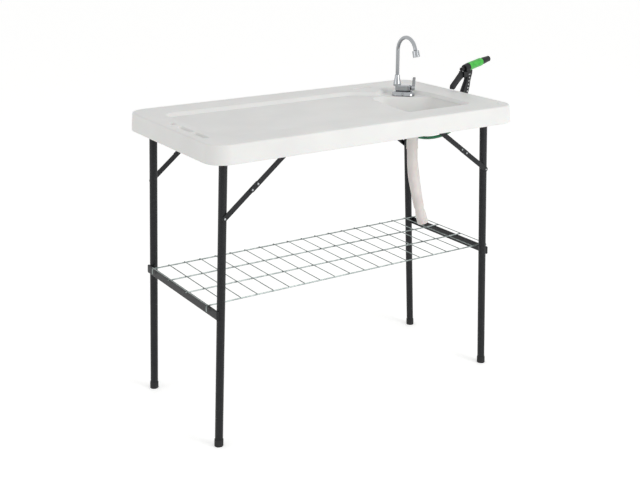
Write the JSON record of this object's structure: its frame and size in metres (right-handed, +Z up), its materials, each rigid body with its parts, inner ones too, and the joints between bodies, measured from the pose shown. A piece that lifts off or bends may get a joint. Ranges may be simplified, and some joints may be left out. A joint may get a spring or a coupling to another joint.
{
  "type": "camping sink stand",
  "caption": "Folding moulded table with a wash basin, work panel, swivel tap, drain hose, spray gun in a side holder and a wire shelf hooked between two leg frames.",
  "frame": {"origin": "on the floor, in the middle of the stand's footprint, measured without its two hoses", "axes": "+X along the table towards the basin end, +Y to the side the tap stands on, +Z up"},
  "size_m": [1.2686, 0.604, 1.1343],
  "materials": {
    "moulded_plastic": "satin, lightly grained off-white",
    "chrome": "mirror chrome",
    "black_rubber": "matt",
    "foot_rubber": "matt",
    "white_fitting": "satin",
    "ribbed_hose": "satin, ribbed",
    "green_hose": "gloss",
    "steel": "brushed",
    "black_plastic": "satin",
    "green_plastic": "gloss",
    "hammertone_paint": "hammered dark grey paint",
    "zinc_plate": "bright zinc plate"
  },
  "bodies": {
    "table": {"tabletop": "moulded_plastic", "drain_flange": "chrome", "drain_gasket": "black_rubber", "drain_nut": "white_fitting", "drain_hose": "ribbed_hose", "tap_gasket": "black_rubber", "tap_base": "chrome", "tap_body": "chrome", "tap_shank": "steel", "deck_washer": "black_rubber", "deck_nut": "white_fitting", "hose_tee": "black_plastic", "spray_hose": "green_hose", "hose_connector": "black_plastic", "spray_holder": "black_plastic", "holder_screw_front": "steel", "holder_screw_back": "steel", "left_front_hinge": "hammertone_paint", "left_front_brace_bracket": "hammertone_paint", "left_back_hinge": "hammertone_paint", "left_back_brace_bracket": "hammertone_paint", "right_front_hinge": "hammertone_paint", "right_front_brace_bracket": "hammertone_paint", "right_back_hinge": "hammertone_paint", "right_back_brace_bracket": "hammertone_paint"},
    "strainer_body": {"strainer": "chrome"},
    "spout_body": {"spout": "chrome", "aerator": "chrome"},
    "lever_body": {"tap_lever": "chrome"},
    "sprayer": {"gun_body": "black_plastic", "gun_barrel": "green_plastic", "gun_pin": "steel"},
    "trigger": {"gun_lever": "black_plastic"},
    "nozzle": {"gun_nozzle": "black_plastic"},
    "knob": {"flow_knob": "black_plastic"},
    "shelf": {"wire_shelf": "zinc_plate"},
    "left_frame": {"left_front_leg": "hammertone_paint", "left_front_foot": "foot_rubber", "left_back_leg": "hammertone_paint", "left_back_foot": "foot_rubber", "left_top_bar": "hammertone_paint", "left_crossbar": "hammertone_paint"},
    "left_upper_links": {"left_front_upper_link": "hammertone_paint", "left_back_upper_link": "hammertone_paint"},
    "left_lower_links": {"left_front_lower_link": "hammertone_paint", "left_back_lower_link": "hammertone_paint"},
    "right_frame": {"right_front_leg": "hammertone_paint", "right_front_foot": "foot_rubber", "right_back_leg": "hammertone_paint", "right_back_foot": "foot_rubber", "right_top_bar": "hammertone_paint", "right_crossbar": "hammertone_paint"},
    "right_upper_links": {"right_front_upper_link": "hammertone_paint", "right_back_upper_link": "hammertone_paint"},
    "right_lower_links": {"right_front_lower_link": "hammertone_paint", "right_back_lower_link": "hammertone_paint"}
  },
  "joints": [
    {"name": "left_leg_fold", "type": "hinge", "parent": "table", "child": "left_frame", "pos_m": [-0.56829, 0, 0.8972], "axis": [0, -1, 0], "range_deg": [0, 88]},
    {"name": "right_leg_fold", "type": "hinge", "parent": "table", "child": "right_frame", "pos_m": [0.40771, 0, 0.8972], "axis": [0, -1, 0], "range_deg": [-84.01, 0]},
    {"name": "left_upper_link_turn", "type": "hinge", "parent": "table", "child": "left_upper_links", "pos_m": [-0.37228, 0, 0.88195], "axis": [0, -1, 0], "range_deg": [0, 140.91]},
    {"name": "left_lower_link_turn", "type": "hinge", "parent": "left_frame", "child": "left_lower_links", "pos_m": [-0.5772, 0, 0.71542], "axis": [0, -1, 0], "range_deg": [-127.11, 0]},
    {"name": "right_upper_link_turn", "type": "hinge", "parent": "table", "child": "right_upper_links", "pos_m": [0.21171, 0, 0.86933], "axis": [0, -1, 0], "range_deg": [-143.1, 0]},
    {"name": "right_lower_link_turn", "type": "hinge", "parent": "right_frame", "child": "right_lower_links", "pos_m": [0.41663, 0, 0.71542], "axis": [0, -1, 0], "range_deg": [0, 120.92]},
    {"name": "shelf_draw", "type": "slide", "parent": "table", "child": "shelf", "axis": [-0.9639, 0, 0.2663], "range_m": [0, 1.2115]},
    {"name": "spout_swivel", "type": "hinge", "parent": "table", "child": "spout_body", "pos_m": [0.28716, 0.10656, 0.986], "axis": [0, 0, 1], "range_deg": [-80, 80]},
    {"name": "tap_lever_turn", "type": "hinge", "parent": "table", "child": "lever_body", "pos_m": [0.32676, 0.06696, 0.9524], "axis": [0.7071, -0.7071, 0], "range_deg": [0, 75]},
    {"name": "strainer_lift", "type": "slide", "parent": "table", "child": "strainer_body", "axis": [0, 0, 1], "range_m": [0, 0.06]},
    {"name": "sprayer_lift", "type": "slide", "parent": "table", "child": "sprayer", "axis": [0, 0, 1], "range_m": [0, 0.12]},
    {"name": "sprayer_trigger", "type": "hinge", "parent": "sprayer", "child": "trigger", "pos_m": [0.51269, 0.00903, 0.9925], "axis": [0.2079, -0.9781, 0], "range_deg": [0, 4], "stiffness_Nm_per_rad": 2, "springref_deg": -2.86},
    {"name": "nozzle_twist", "type": "hinge", "parent": "sprayer", "child": "nozzle", "pos_m": [0.59153, 0.02579, 1.0268], "axis": [0.9685, 0.2059, 0.1404], "range_deg": [-90, 90]},
    {"name": "flow_knob_turn", "type": "hinge", "parent": "sprayer", "child": "knob", "pos_m": [0.49372, 0.005, 1.0127], "axis": [0.9685, 0.2059, 0.1404], "range_deg": [-120, 120]}
  ],
  "couplings": [
    {"joint": "right_leg_fold", "follows": "left_leg_fold", "ratio": -0.95454},
    {"joint": "left_upper_link_turn", "follows": "left_leg_fold", "ratio": 1.6011},
    {"joint": "left_lower_link_turn", "follows": "left_leg_fold", "ratio": -1.4443},
    {"joint": "right_upper_link_turn", "follows": "left_leg_fold", "ratio": -1.626},
    {"joint": "right_lower_link_turn", "follows": "left_leg_fold", "ratio": 1.374},
    {"joint": "shelf_draw", "follows": "left_leg_fold", "m_per_rad": 0.7885}
  ]
}
